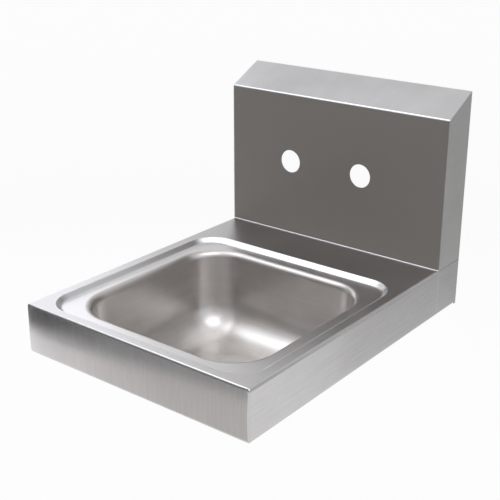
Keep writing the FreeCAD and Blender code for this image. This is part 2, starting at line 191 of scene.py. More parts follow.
def finished_piece(name, mesh, body, nodes, finishes, edge=0.0):
    """A piece that rides on a body and stands for the named nodes; with an edge, a sheet."""
    bmesh.ops.remove_doubles(mesh, verts=mesh.verts, dist=merge_distance)
    loose = [vertex for vertex in mesh.verts if not vertex.link_faces]
    bmesh.ops.delete(mesh, geom=loose, context="VERTS")
    for face in mesh.faces:
        face.smooth = True
    data = bpy.data.meshes.new(name)
    mesh.to_mesh(data)
    mesh.free()
    piece = new_object(name, data)
    for finish in finishes:
        data.materials.append(finish)
    if edge:
        solidify = piece.modifiers.new("thickness", "SOLIDIFY")
        solidify.thickness = sheet
        solidify.offset = -1
        solidify.use_even_offset = True
        bevel = piece.modifiers.new("deburred_edges", "BEVEL")
        bevel.width = edge
        bevel.segments = 2
        bevel.limit_method = "ANGLE"
        bevel.angle_limit = sharp_angle
    weighted = piece.modifiers.new("flat_faces_lead", "WEIGHTED_NORMAL")
    weighted.weight = flat_face_weight
    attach(piece, body)
    if nodes:
        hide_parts(*nodes)
    print(name, "faces", len(data.polygons))


print("sheet of", sheet, "with its edges softened by", cut_edge)

# %% [markdown]
# ## Nodes for a finish
# A finish is a small graph of nodes. Noise is brought into a range, shades a tint and raises
# a faint relief. The helpers hand sockets on, and a socket knows the graph that it is in.

# %% Helpers for shader nodes
noise_roughness = 0.55


def new_material(name):
    material = bpy.data.materials.new(name)
    material.use_nodes = True
    return material, material.node_tree


def link(source, node, name):
    source.id_data.links.new(source, node.inputs[name])


def add_node(tree, kind, values=None):
    """A new node, with constants set straight on its input sockets."""
    node = tree.nodes.new("ShaderNode" + kind)
    for name, value in (values or {}).items():
        node.inputs[name].default_value = value
    return node


def mapped_noise(places, scale, detail):
    """Noise at the given places, stretched by a different scale along each axis."""
    tree = places.id_data
    mapping = add_node(tree, "Mapping", {"Scale": scale})
    link(places, mapping, "Vector")
    noise = add_node(tree, "TexNoise",
                     {"Scale": 1.0, "Detail": detail, "Roughness": noise_roughness})
    link(mapping.outputs["Vector"], noise, "Vector")
    return noise.outputs[0]


def ranged(source, low, high, start=0.3, end=0.7):
    """The source's values from start to end, mapped to low to high."""
    node = add_node(source.id_data, "MapRange",
                    {"From Min": start, "From Max": end, "To Min": low, "To Max": high})
    link(source, node, "Value")
    return node.outputs[0]


def combined(operation, first, second):
    node = add_node(first.id_data, "Math")
    node.operation = operation
    link(first, node, 0)
    link(second, node, 1)
    return node.outputs[0]


def tinted(shader, tint, shade):
    """Give the shader a tint that a shade near 1 makes lighter and darker."""
    colour = add_node(shader.id_data, "VectorMath", {0: tint})
    colour.operation = "SCALE"
    link(shade, colour, "Scale")
    link(colour.outputs[0], shader, "Base Color")


def bumped(height, distance, strength, below=None):
    """The normal of a faint relief, laid over the one below it where there is one."""
    node = add_node(height.id_data, "Bump", {"Distance": distance, "Strength": strength})
    link(height, node, "Height")
    if below is not None:
        link(below, node, "Normal")
    return node.outputs["Normal"]


print("roughness of the noise", noise_roughness)

# %% [markdown]
# ## Brushed and satin steel
# The finish is a metal whose roughness, tone and relief all follow one stretched noise, so
# the scratches show in the colour and in the reflections alike. A second, slow noise makes
# the soft clouds that handling and polishing leave. The anisotropy smears reflections
# across the scratches, as real grain does.

# %% Build a steel finish
cloud_scale = 14.0
grain_detail, cloud_detail = 5.0, 3.0
grain_swing, cloud_swing = 0.06, 0.05
grain_bump, cloud_bump = 0.5, 0.1


def steel_finish(name, tint, roughness, streak=0.05, cloud=0.04, anisotropy=0.5,
                 grain_relief=4e-6, cloud_relief=6e-4, across=420.0, along=16.0, mapped=True,
                 metallic=1.0):
    """Brushed or satin metal with its grain along the second axis of the grain map."""
    material, tree = new_material(name)
    shader = tree.nodes["Principled BSDF"]
    shader.inputs["Metallic"].default_value = metallic
    places = add_node(tree, "TexCoord").outputs
    grain_scale = (across, along, 1.0) if mapped else (across, across, along)
    grain = mapped_noise(places["UV" if mapped else "Object"], grain_scale, grain_detail)
    clouds = mapped_noise(places["Object"], [cloud_scale] * 3, cloud_detail)
    streaks = ranged(grain, 1 - streak, 1 + streak)
    patches = ranged(clouds, 1 - cloud, 1 + cloud)
    tinted(shader, tint, combined("MULTIPLY", streaks, patches))
    rough_grain = ranged(grain, roughness * (1 - grain_swing), roughness * (1 + grain_swing))
    rough_cloud = ranged(clouds, 1 - cloud_swing, 1 + cloud_swing)
    link(combined("MULTIPLY", rough_grain, rough_cloud), shader, "Roughness")
    waves = bumped(clouds, cloud_relief, cloud_bump)
    link(bumped(grain, grain_relief, grain_bump, below=waves), shader, "Normal")
    if mapped and anisotropy:
        shader.inputs["Anisotropic"].default_value = anisotropy
        tangent = add_node(tree, "Tangent")
        tangent.direction_type = "UV_MAP"
        link(tangent.outputs["Tangent"], shader, "Tangent")
    return material


print("clouds in a metre", cloud_scale)

# %% [markdown]
# ## One finish for each part of the sheet
# All the sheets are one steel, but each is worked in its own way. The aprons are brushed
# bright, the deck is softer, the bends and the step are burnished by the tools that press
# them, and the bowl is satin. The face of the splash is dull and dark: that tone is a painted
# dark reflection, put into its colour in place of the dark room the steel would mirror.

# %% Mix the steels
apron_steel = steel_finish(
    "apron_steel", (0.60, 0.588, 0.594), 0.22, streak=0.045, anisotropy=0.6)
deck_steel = steel_finish(
    "deck_steel", (0.61, 0.598, 0.602), 0.35, streak=0.035, anisotropy=0.7)
ledge_steel = steel_finish(
    "ledge_steel", (0.62, 0.605, 0.61), 0.31, streak=0.02, anisotropy=0.3)
burnished_steel = steel_finish(
    "burnished_steel", (0.76, 0.755, 0.765), 0.31, streak=0.015, cloud=0.02, anisotropy=0.0)
bowl_steel = steel_finish(
    "bowl_steel", (0.64, 0.614, 0.597), 0.335, streak=0.035, across=300.0, along=12.0,
    anisotropy=0.3, cloud=0.06)
splash_steel = steel_finish(
    "splash_steel", (0.60, 0.593, 0.603), 0.32, streak=0.02, cloud=0.07)
# The splash face's dark, dull tone is painted: a dark reflection painted into its colour.
splash_face_painted_dark = steel_finish(
    "splash_face_painted_dark", (0.262, 0.240, 0.221), 0.55, streak=0.05, cloud=0.01, anisotropy=0.0,
    across=900.0, along=900.0, grain_relief=0.0, cloud_relief=0.0, metallic=0.3)
end_steel = steel_finish("end_steel", (0.58, 0.575, 0.57), 0.34, streak=0.03, cloud=0.05)
print("finishes", len(bpy.data.materials))

# %% [markdown]
# ## The pressed step
# The deck, its step and the three aprons are one sheet. The step's top edge is a small
# round, so the ring around the bowl reads as pressed and not cut. Its slope is gentle, so
# at the back it mirrors the light overhead and shows as a bright line.

# %% Shape the pressed step
recess_half_x = 0.1375
recess_margin = 0.0135
recess_length = 0.2725
recess_corner = 0.032
recess_depth = 0.0055
recess_edge_radius = 0.0022
recess_edge_steps = 5
step_start = 0.0012
step_run = 0.0057
step_slope = step_run / recess_depth
recess_front = front_y + recess_margin
recess_back = recess_front + recess_length
ledge_z = deck_z - recess_depth


def rounded_edge(radius, slope, steps):
    """(outward, down) points from a flat onto a wall that runs in by slope for each unit down."""
    centre = radius * (hypot(1, slope) - slope)
    return [(centre + radius * cos(a), radius - radius * sin(a))
            for a in spread(pi / 2, pi - atan(slope), steps)]


def grown_ring(outward, radius, z):
    """The outline of the recess, larger by outward on every side."""
    return rounded_ring(recess_half_x + outward, recess_front - outward, recess_back + outward,
                        radius, z)


def recess_ring(outward, down):
    return grown_ring(outward, recess_corner + outward, deck_z - down)


def step_rings():
    """The step from the deck down to the ledge."""
    rings = [recess_ring(step_start + out, down)
             for out, down in rounded_edge(recess_edge_radius, step_slope, recess_edge_steps)]
    rings.extend(recess_ring(step_start - step_run * share, recess_depth * share)
                 for share in (0.5, 0.8, 1))
    return rings


print("rings in the step", len(step_rings()))

# %% [markdown]
# ## The profile of an apron
# Folding stretches thin sheet, so a real apron is never quite flat. The front one leans in
# by about a millimetre near its bends. That is too little to see as a shape, but it makes
# the reflections of the floor and the room fade into each other.

# %% Lay the flat deck and draw the apron's profile
deck_half_x = half_width - bend_radius
top_lean, top_lean_height = 0.0012, 0.032
foot_lean, foot_lean_height = 0.0006, 0.024
wall_steps = 26


def deck_frame_ring(share):
    """A ring on the flat deck, from its outer rectangle at 0 to the step at 1."""
    outer = rounded_ring(deck_half_x, front_y + bend_radius, cove_start_y, 0.0, deck_z)
    return [a.lerp(b, share) for a, b in zip(outer, step_rings()[0])]


def apron_profile(lean_share, pull):
    """(outward, z) points from the deck's edge, round the bend and down to the foot's bend."""
    top_z, foot_z = deck_z - bend_radius, apron_bottom_z + bend_radius

    def wall_out(z):
        top = top_lean * max(0, 1 - (top_z - z) / top_lean_height) ** 2
        foot = foot_lean * max(0, 1 - (z - foot_z) / foot_lean_height) ** 2
        return bend_radius - pull - (top + foot) * lean_share

    quarter = spread(0, pi / 2, bend_steps)
    top = [(wall_out(top_z) * sin(a), top_z + bend_radius * cos(a)) for a in quarter]
    walls = [(wall_out(z), z) for z in spread(top_z, foot_z, wall_steps)[1:-1]]
    foot = [(wall_out(foot_z) * cos(a), foot_z - bend_radius * sin(a)) for a in quarter]
    return top + walls + foot


print("points in the apron's profile", len(apron_profile(1, 0)))

# %% [markdown]
# ## The deck and its three aprons
# The apron's profile is carried round the left, front and right sides, and the corners come
# out as part of a ball. Near its two ends the front is pulled in by half a millimetre more,
# which darkens the last bit of sheet before the corner, as it does on a real one.

# %% Carry the profile round and join it to the deck
corner_pull, corner_pull_length = 0.0005, 0.014
squarely = 0.9


def apron_stations():
    """(place, outward direction) along the deck's edge from its left back to its right back."""
    edge = deck_frame_ring(0)
    side_count = corner_steps + side_steps
    stations = [(Vector((-deck_half_x, splash_face_y, deck_z)), Vector((-1, 0, 0)))]
    for turn, way in ((2, (-1, 0, 0)), (3, (0, -1, 0)), (0, (1, 0, 0))):
        start = turn * side_count + corner_steps
        stations += [(edge[(start + step) % len(edge)], Vector(way)) for step in range(side_steps)]
        if turn:
            centre = edge[(turn + 1) % 4 * side_count]
            first = atan2(way[1], way[0])
            stations += [(centre, Vector((cos(a), sin(a), 0)))
                         for a in spread(first, first + pi / 2, corner_steps)]
    return stations + [(Vector((deck_half_x, y, deck_z)), Vector((1, 0, 0)))
                       for y in (cove_start_y, splash_face_y)]


def apron_columns():
    """The apron's profile at each station, and the flange that is turned in at its foot."""
    inner_x, inner_y = half_width - return_flange, front_y + return_flange
    columns = []
    for place, way in apron_stations():
        facing_front = max(0, -way.y) ** 2
        from_corner = (deck_half_x - abs(place.x)) / corner_pull_length
        pull = corner_pull * max(0, 1 - from_corner) ** 2 * facing_front
        column = [Vector((place.x, place.y, z)) + way * out
                  for out, z in apron_profile(facing_front, pull)]
        flange_x = max(-inner_x, min(inner_x, place.x))
        column.append(Vector((flange_x, max(place.y, inner_y), apron_bottom_z)))
        columns.append(column)
    return columns


def is_bend(normal, upward=0.1, sideways=0.15):
    """Whether a face looks partly up and partly sideways."""
    return normal.z > upward and sorted(abs(part) for part in normal)[1] > sideways


def deck_and_aprons():
    mesh = bmesh.new()
    join_rings(mesh, [deck_frame_ring(share) for share in (0, 0.25, 0.5, 0.75, 1)])
    columns = apron_columns()
    for left, right in zip(columns, columns[1:]):
        for k in range(len(left) - 1):
            corners = [mesh.verts.new(p) for p in (left[k], left[k + 1], right[k + 1], right[k])]
            mesh.faces.new(corners)
    bmesh.ops.remove_doubles(mesh, verts=mesh.verts, dist=merge_distance)
    map_flat_grain(mesh)
    flat_faces = set(mesh.faces)
    join_rings(mesh, step_rings())
    apron, burnished, deck = 0, 1, 2
    for face in mesh.faces:
        if is_bend(face.normal) or face not in flat_faces:
            face.material_index = burnished
        else:
            face.material_index = deck if face.normal.z > squarely else apron
    finished_piece("deck_and_aprons", mesh, "basin", ["deck_pan"],
                   [apron_steel, burnished_steel, deck_steel], edge=cut_edge)


deck_and_aprons()

# %% [markdown]
# ## The drawn bowl
# A press draws the bowl from a flat blank, so its walls lean a little, its corners are wide
# and its floor meets the walls in one long curve. The floor falls gently to the drain, which
# sits in a shallow seat of its own.

# %% Draw the bowl's walls and the seat of its drain
measured_step_run = 0.003
ledge_width = 0.011
rim_radius = 0.008
floor_depth = 0.104
bowl_corner = 0.046
bowl_draft = 0.004
floor_radius = 0.042
floor_fall = 0.003
fall_radius = 0.064
seat_radius = 0.038
seat_depth = 0.0035
seat_edge = 0.001
hole_radius = 0.0254
bowl_depth = floor_depth - recess_depth
wall_slope = bowl_draft / bowl_depth
wall_inset = measured_step_run + ledge_width + rim_radius


def bowl_ring(outward, down):
    """A ring of the bowl, placed from the line where its wall would meet the ledge."""
    radius = bowl_corner + outward + wall_slope * down
    return grown_ring(outward - wall_inset, radius, ledge_z - down)


def wall_points():
    """(outward, down) points from the ledge over the rim and down to the flat of the floor."""
    points = rounded_edge(rim_radius, wall_slope, steps=10)
    lowest = bowl_depth - floor_radius
    centre = -wall_slope * lowest - floor_radius * hypot(1, wall_slope)
    curve = [(centre + floor_radius * cos(a), lowest + floor_radius * sin(a))
             for a in spread(atan(wall_slope), pi / 2, 18)]
    top, low = points[-1], curve[0]
    points += [(top[0] + (low[0] - top[0]) * share, top[1] + (low[1] - top[1]) * share)
               for share in (0.15, 0.3, 0.45, 0.6, 0.75, 0.9)]
    return points + curve


def drain_seat_points():
    """(radius, depth below the floor) from the flat of the floor down to the drain's hole."""
    points = []
    for radius in spread(fall_radius, seat_radius + seat_edge, 8):
        share = (fall_radius - radius) / (fall_radius - seat_radius)
        points.append((radius, floor_fall * share * share * (3 - 2 * share)))
    bottom = floor_fall + seat_depth
    points.extend(((seat_radius + 0.0003, floor_fall + 0.0003),
                   (seat_radius, floor_fall + seat_edge), (seat_radius, bottom - 0.0008),
                   (seat_radius - 0.0003, bottom - 0.0002), (seat_radius - seat_edge, bottom),
                   (hole_radius, bottom)))
    return points


print("depth of the bowl at its drain", round(floor_depth + floor_fall, 4))

# %% [markdown]
# ## From square walls to a round drain
# The bowl's rings are square and the drain is round. Each circle keeps the bearings of the
# last square ring, so the faces between the two run straight to the middle.

# %% Shape the bowl from its ledge to its drain hole
def circle_under(ring, radius, z):
    """A circle about the drain's axis whose points keep the bearings of another ring."""
    return [Vector((0, bowl_y, z)) + Vector((point.x, point.y - bowl_y, 0)).normalized() * radius
            for point in ring]


def drawn_bowl():
    mesh = bmesh.new()
    foot = recess_ring(step_start - step_run, recess_depth)
    walls = [bowl_ring(out, down) for out, down in wall_points()]
    join_rings(mesh, [[a.lerp(b, share) for a, b in zip(foot, walls[0])] for share in (0, 0.5, 1)])
    map_flat_grain(mesh)
    for face in mesh.faces:
        face.material_index = 1
    last = walls[-1]
    level = last[0].z
    floor = [circle_under(last, radius, level - down) for radius, down in drain_seat_points()]
    halfway = [a.lerp(b, 0.5) for a, b in zip(last, floor[0])]
    join_rings(mesh, walls + [halfway] + floor)
    finished_piece("drawn_bowl", mesh, "basin", ["sink_bowl"],
                   [bowl_steel, ledge_steel], edge=cut_edge)


drawn_bowl()

# %% [markdown]
# ## The ground weld
# The ledge is welded to the foot of the step and ground smooth, which leaves a small hollow
# curve between them. It is its own thin ring, laid exactly on both sheets.

# %% Lay the weld between the step and the ledge
weld_reach = 0.0016


def ground_weld():
    rings = []
    for share in spread(0, 1, 6):
        up, along = weld_reach * (1 - share) ** 2, weld_reach * share ** 2
        outward = step_start - step_run + step_slope * up - along
        rings.append(recess_ring(outward, recess_depth - up))
    mesh = bmesh.new()
    join_rings(mesh, rings)
    finished_piece("ground_weld", mesh, "basin", [], [burnished_steel])


ground_weld()

# %% [markdown]
# ## Flat sheets with holes
# The splash and the end plates are flat sheets with bends in one direction. A panel is laid
# out as a grid of columns and rows, and a function folds each grid point into space. Where a
# hole is wanted, a square of cells is left out and filled by a ring of faces around it.

# %% Lay out a panel and cut its holes
hole_cells = 16


def panel(mesh, columns, rows, place, holes=(), notch=(inf, inf)):
    """A folded grid, cut off past the notch's column and row.

    Each hole is (column, row, radius, half the side of its square).
    """
    points = {(c, r): mesh.verts.new(place(column, row))
              for c, column in enumerate(columns) for r, row in enumerate(rows)}
    for c in range(len(columns) - 1):
        for r in range(len(rows) - 1):
            middle_c, middle_r = (columns[c] + columns[c + 1]) / 2, (rows[r] + rows[r + 1]) / 2
            in_hole = any(abs(middle_c - u) < half and abs(middle_r - v) < half
                          for u, v, radius, half in holes)
            if not in_hole and (middle_c < notch[0] or middle_r < notch[1]):
                mesh.faces.new((points[c, r], points[c + 1, r], points[c + 1, r + 1],
                                points[c, r + 1]))
    for u, v, radius, half in holes:
        c0 = min(range(len(columns)), key=lambda c: abs(columns[c] - (u - half)))
        r0 = min(range(len(rows)), key=lambda r: abs(rows[r] - (v - half)))
        n = hole_cells
        border = [(c0 + i, r0) for i in range(n)] + [(c0 + n, r0 + i) for i in range(n)]
        border += [(c0 + n - i, r0 + n) for i in range(n)] + [(c0, r0 + n - i) for i in range(n)]
        ring = []
        for c, r in border:
            a = atan2(rows[r] - v, columns[c] - u)
            ring.append(mesh.verts.new(place(u + radius * cos(a), v + radius * sin(a))))
        for i in range(len(border)):
            j = (i + 1) % len(border)
            mesh.faces.new((points[border[i]], points[border[j]], ring[j], ring[i]))


def lines_through(first, last, holes, gap_cells):
    """Grid lines from first to last that fit the squares of holes given as (centre, half)."""
    lines = []
    start = first
    for centre, half in sorted(holes):
        lines += spread(start, centre - half, gap_cells)[:-1]
        lines += spread(centre - half, centre + half, hole_cells)[:-1]
        start = centre + half
    return lines + spread(start, last, gap_cells)


print("lines past one hole", len(lines_through(0, 1, [(0.5, 0.1)], 4)))

# %% [markdown]
# ## Paths with rounded corners
# A folded sheet is a path seen from its end. One small helper rounds the path's corners, and
# another finds the point at any distance along it. Drawn by hand, the bends would be uneven.

# %% Round a path and walk along it
def rounded_path(corners, radii, steps=6):
    """Points of a path in a plane, with an arc in place of each inner corner."""
    corners = [Vector(corner) for corner in corners]
    points = corners[:1]
    for before, corner, after, radius in zip(corners, corners[1:], corners[2:], radii):
        back, ahead = (before - corner).normalized(), (after - corner).normalized()
        half_angle = back.angle(ahead) / 2
        centre = corner + (back + ahead).normalized() * radius / sin(half_angle)
        first = corner + back * radius / tan(half_angle) - centre
        last = corner + ahead * radius / tan(half_angle) - centre
        turn = pi - 2 * half_angle
        for step in range(steps + 1):
            a = turn * step / steps
            points.append(centre + (first * sin(turn - a) + last * sin(a)) / sin(turn))
    return points + corners[-1:]


def walk(points, distance, slack=1e-9):
    """The point at a distance along a path."""
    for a, b in zip(points, points[1:]):
        length = (b - a).length
        if distance <= length + slack:
            return a.lerp(b, distance / length if length else 0)
        distance -= length
    return points[-1]


print("points round a corner", len(rounded_path(((1, 0), (0, 0), (0, 1)), (0.5,))))

# %% [markdown]
# ## The splash
# One sheet rises from a small cove at the deck, runs up the face with its two tap holes,
# folds back over the top and turns down again at the wall, where it hooks on the bracket.
# The face is a darker, flatter steel than the rest, and its dark tone is a painted dark
# reflection. The folds are burnished, so the sheet has three finishes, and the way a face
# looks decides which one it gets.

# %% Fold the splash
tap_hole_radius = 0.0143
tap_hole_z = deck_z + 0.0934
tap_hole_places = (-0.0618, 0.0398)
hole_square = 0.018
splash_half = half_width - sheet


def splash_path():
    """(y, z) of the splash's skin from the cove over the top to the lip at the wall."""
    corners = ((cove_start_y, deck_z), (splash_face_y, deck_z),
               (splash_face_y, splash_front_top_z), (0.0, splash_wall_top_z),
               (0.0, lip_bottom_z))
    return rounded_path(corners, (cove_radius, splash_bend_radius, splash_wall_radius))


def is_fold(normal, cove=(0.47, 0.985), top_bend=(0.1, 0.4)):
    """Whether a face belongs to the cove or to the front of the top bend."""
    return any(low < -normal.y < high for low, high in (cove, top_bend))


def splash():
    path = splash_path()
    along = distances_along(path)
    cove_end, wall_bend = 7, 15  # places in the path
    face_start, face_end = along[cove_end:cove_end + 2]
    hole_row = face_start + tap_hole_z - path[cove_end].y
    rows = along[:cove_end] + lines_through(face_start, face_end, [(hole_row, hole_square)], 5)
    rows += along[cove_end + 2:wall_bend]
    rows += spread(along[wall_bend], along[wall_bend + 1], 4) + along[wall_bend + 2:]
    columns = lines_through(-splash_half, splash_half,
                            [(x, hole_square) for x in tap_hole_places], 5)

    def fold(column, row):
        y, z = walk(path, row)
        return Vector((column, y, z))

    mesh = bmesh.new()
    panel(mesh, columns, sorted(set(rows)), fold,
          [(x, hole_row, tap_hole_radius, hole_square) for x in tap_hole_places])
    map_flat_grain(mesh)
    for face in mesh.faces:
        if is_fold(face.normal):
            face.material_index = 2
        elif -face.normal.y > squarely:
            # Faces that look straight ahead take the painted dark reflection of the splash face.
            face.material_index = 1
    finished_piece("splash", mesh, "basin", ["backsplash"],
                   [splash_steel, splash_face_painted_dark, burnished_steel], edge=cut_edge)


splash()

# %% [markdown]
# ## End plates of the splash
# Each end is a plate cut to the splash's outline, bent round at its back into a narrow
# flange that lies on the wall. Two sheets never quite close on each other, so the plate
# stops half a millimetre above the piece below it, and that gap is the dark seam. The left
# plate is the right one seen in a mirror.

# %% Cut and fold the end plates
end_flange = 0.0127
flange_gap = 0.001
seam_gap = 0.0005
top_slope = (splash_wall_top_z - splash_front_top_z) / -splash_face_y


def outline_top(y):
    """Height of the splash's outline at a depth y, with its two rounded bends."""
    stretch = hypot(1, top_slope)
    bends = ((splash_bend_radius, splash_face_y + splash_bend_radius, -1),
             (splash_wall_radius, -splash_wall_radius, 1))
    for radius, centre_y, side in bends:
        if side * (y - centre_y + radius * top_slope / stretch) > 0:
            level_z = splash_front_top_z + top_slope * (centre_y - splash_face_y)
            centre_z = level_z - radius * stretch
            return centre_z + sqrt(max(radius ** 2 - (y - centre_y) ** 2, 0))
    return splash_front_top_z + top_slope * (y - splash_face_y)


def wall_corner_path(front, flange):
    """(x, y) of an angle's skin from its front edge, round its bend and along the wall."""
    corners = ((half_width, front), (half_width, 0.0), (half_width - flange, 0.0))
    return rounded_path(corners, (wall_bend_radius,), bend_steps)


def finish_pair(name, node, mesh, finish, edge):
    """A piece for the right side, and its mirror image for the left side."""
    twin = mesh.copy()
    for vertex in twin.verts:
        vertex.co.x = -vertex.co.x
    bmesh.ops.reverse_faces(twin, faces=twin.faces)
    for side, half in (("right", mesh), ("left", twin)):
        finished_piece(name + side, half, "basin", [node + side], [finish], edge=edge)


def end_plate():
    path = wall_corner_path(splash_face_y, end_flange)
    along = distances_along(path)
    columns = [0.0, 0.00015, 0.0004, 0.0007, 0.0011]
    columns += spread(0.004, along[1] - 0.0004, 6) + along[1:]
    flange_top = lip_bottom_z - flange_gap
    foot_z = deck_z + seam_gap
    rows = spread(foot_z, flange_top, 8) + spread(flange_top, splash_wall_top_z, 4)[1:]

    def fold(column, row):
        x, y = walk(path, column)
        top = outline_top(y)
        middle = min(flange_top, top - 0.004)
        if row > flange_top:
            share = (row - flange_top) / (splash_wall_top_z - flange_top)
            return Vector((x, y, middle + (top - middle) * share))
        return Vector((x, y, foot_z + (middle - foot_z) * (row - foot_z) / (flange_top - foot_z)))

    mesh = bmesh.new()
    panel(mesh, columns, rows, fold, notch=(along[-2], flange_top))
    map_flat_grain(mesh)
    return mesh


finish_pair("splash_end_plate_", "splash_end_", end_plate(), end_steel, end_edge)

# %% [markdown]
# ## Lower rear corners
# Below each end plate a corner piece closes the side. It is bent in at its foot like the
# apron in front of it, from which a seam of a quarter of a millimetre parts it, and at the
# wall it has a wider flange with a hole for an anchor.

# %% Fold the rear corners
anchor_flange = 0.0254
anchor_radius = 0.0035
anchor_square = 0.005
anchor_z = deck_z - 0.0286
foot_relief = 0.006


def foot_path():
    """(x, z) of the corner's skin from the deck down and round into its foot."""
    corners = ((half_width, deck_z), (half_width, apron_bottom_z),
               (half_width - return_flange, apron_bottom_z))
    return rounded_path(corners, (bend_radius,), bend_steps)


def corner_piece():
    path = wall_corner_path(-foot_relief, anchor_flange)
    along = distances_along(path)
    anchor_column = along[-1] - anchor_flange / 2
    columns = along[:-1]
    columns += lines_through(along[-2], along[-1], [(anchor_column, anchor_square)], 2)[1:]
    flange_top = deck_z - flange_gap
    rows = lines_through(apron_bottom_z, flange_top, [(anchor_z, anchor_square)], 3)
    rows.insert(1, apron_bottom_z + bend_radius)
    rows = sorted(rows) + [deck_z]

    def fold_upright(column, row):
        x, y = walk(path, column)
        return Vector((x, y, row))

    mesh = bmesh.new()
    panel(mesh, columns, rows, fold_upright,
          [(anchor_column, anchor_z, anchor_radius, anchor_square)], (along[-2], flange_top))
    foot = foot_path()
    side_rows = [deck_z - z for z in reversed(rows) if z > apron_bottom_z + bend_radius]
    side_rows += distances_along(foot)[1:]

    def fold_foot(column, row):
        x, z = walk(foot, row)
        return Vector((x, column, z))

    panel(mesh, spread(-foot_relief, splash_face_y + seam_gap / 2, 4), side_rows, fold_foot)
    map_flat_grain(mesh)
    return mesh


finish_pair("rear_corner_plate_", "rear_corner_", corner_piece(), apron_steel,
            cut_edge)

# %% [markdown]
# ## Turned and threaded pieces
# The drain is turned brass with a plated finish. A turned piece is a stack of circles, and a
# thread is the same stack with a radius that follows the angle: each point's crest climbs
# one pitch for one turn. That gives a true helix with no texture.

# %% Turn a closed profile
turn_steps = 96
thread_root = 0.0232
thread_pitch = 0.0022
crest_height, crest_flank = 1.7, 3.4


def about_drain(radius, step, z):
    """A point about the drain's axis, at one of the steps of a turn."""
    angle = 2 * pi * step / turn_steps
    return Vector((radius * cos(angle), bowl_y + radius * sin(angle), z))


def turned_ring(radius, z, threaded=False):
    """A circle about the drain's axis, or a level slice through a thread."""
    points = []
    for step in range(turn_steps):
        r = radius
        if threaded:
            phase = (z / thread_pitch - step / turn_steps) % 1
            crest = min(1, max(0, crest_height - crest_flank * abs(phase - 0.5)))
            r = radius - (radius - thread_root) * (1 - crest)
        points.append(about_drain(r, step, z))
    return points


def turned_piece(name, rings, body, nodes, finish):
    """A closed ring of rings: the last one joins the first."""
    mesh = bmesh.new()
    join_rings(mesh, rings + rings[:1])
    bmesh.ops.remove_doubles(mesh, verts=mesh.verts, dist=merge_distance)
    bmesh.ops.recalc_face_normals(mesh, faces=mesh.faces)
    finished_piece(name, mesh, body, nodes, [finish])


print("points in a turned ring", len(turned_ring(1, 0)))

# %% [markdown]
# ## The drain
# Only the dished flange and the strainer show from above, and the threaded shank shows from
# below. The profile runs once round the metal: up the thread, out and over the flange, and
# down the inside to the outlet.

# %% Turn the drain
def polished_metal(name, tint, roughness, scale=220.0):
    return steel_finish(
        name, tint, roughness, streak=0.02, cloud=0.03, anisotropy=0.0, grain_relief=5e-6,
        cloud_relief=2e-4, across=scale, along=scale, mapped=False)


drain_chrome = polished_metal("drain_chrome", (0.74, 0.74, 0.75), 0.10)
shank_radius = 0.0241
rows_per_turn = 6
plain_neck = 0.009
flange_radius = 0.035
flange_bottom_z = drain_high.z - 0.0024
outlet_radius = 0.0175


def drain():
    bottom, top = drain_low.z, drain_high.z
    rings = [turned_ring(outlet_radius, bottom), turned_ring(thread_root, bottom)]
    rows = int((flange_bottom_z - bottom) / (thread_pitch / rows_per_turn))
    for z in spread(bottom + 0.0004, flange_bottom_z - 0.0006, rows):
        rings.append(turned_ring(shank_radius, z, threaded=z < flange_bottom_z - plain_neck))
    flange = ((shank_radius, 0), (flange_radius - 0.0004, 0), (flange_radius, 0.0005),
              (flange_radius, 0.0010), (flange_radius - 0.0006, 0.0016), (0.0300, 0.0021))
    inside = ((0.0262, 0.0001), (0.0250, 0.0001), (0.0241, 0.0005), (0.0238, 0.0010),
              (0.0238, 0.0019), (0.0236, 0.0020), (0.0218, 0.0020), (0.0215, 0.0023),
              (0.0215, 0.0158), (0.0213, 0.0160), (0.0178, 0.0160), (outlet_radius, 0.0163))
    rings.extend(turned_ring(radius, flange_bottom_z + up) for radius, up in flange)
    rings.extend(turned_ring(radius, top - down) for radius, down in inside)
    turned_piece("drain", rings, "basin", ["drain_body"], drain_chrome)


drain()

# %% [markdown]
# ## The locknut
# A brass nut clamps the drain from below. A forged nut's corners are cut back by a cone, and
# here each point is kept inside both the prism and the cone, which cuts them in one go.

# %% Shape the locknut
brass = polished_metal("cast_brass", (0.62, 0.45, 0.20), 0.32, scale=900.0)
nut_flats = 0.066
nut_sides = 8
nut_cone = 0.0345
cone_spread = 0.0012
bore_chamfer = 0.0006
bore = shank_radius + 0.00005


def nut_ring(limit, z):
    """A level slice of the nut, with its corners cut back to a circle of the given radius."""
    sector = 2 * pi / nut_sides
    points = []
    for step in range(turn_steps):
        off_flat = (2 * pi * step / turn_steps + sector / 2) % sector - sector / 2
        points.append(about_drain(min(limit, nut_flats / 2 / cos(off_flat)), step, z))
    return points


def locknut():
    low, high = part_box("locknut")
    narrow, wide = nut_cone - cone_spread, nut_cone + cone_spread
    slices = ((narrow, low.z), (nut_cone, low.z + 0.0004), (wide, low.z + 0.0014),
              (wide, high.z - 0.0014), (nut_cone, high.z - 0.0004), (narrow, high.z))
    rings = [nut_ring(limit, z) for limit, z in slices]
    rings += [turned_ring(bore + bore_chamfer, high.z), turned_ring(bore, high.z - bore_chamfer),
              turned_ring(bore, low.z + bore_chamfer), turned_ring(bore + bore_chamfer, low.z)]
    turned_piece("brass_locknut", rings, "basin", ["locknut"], brass)


locknut()

# %% [markdown]
# ## The strainer's knob
# The strainer is lifted by a small plated knob on a post. It is one turned profile from the
# thread under the cup to the domed top, and it rides on the strainer's own body, so it
# rises with the cup.

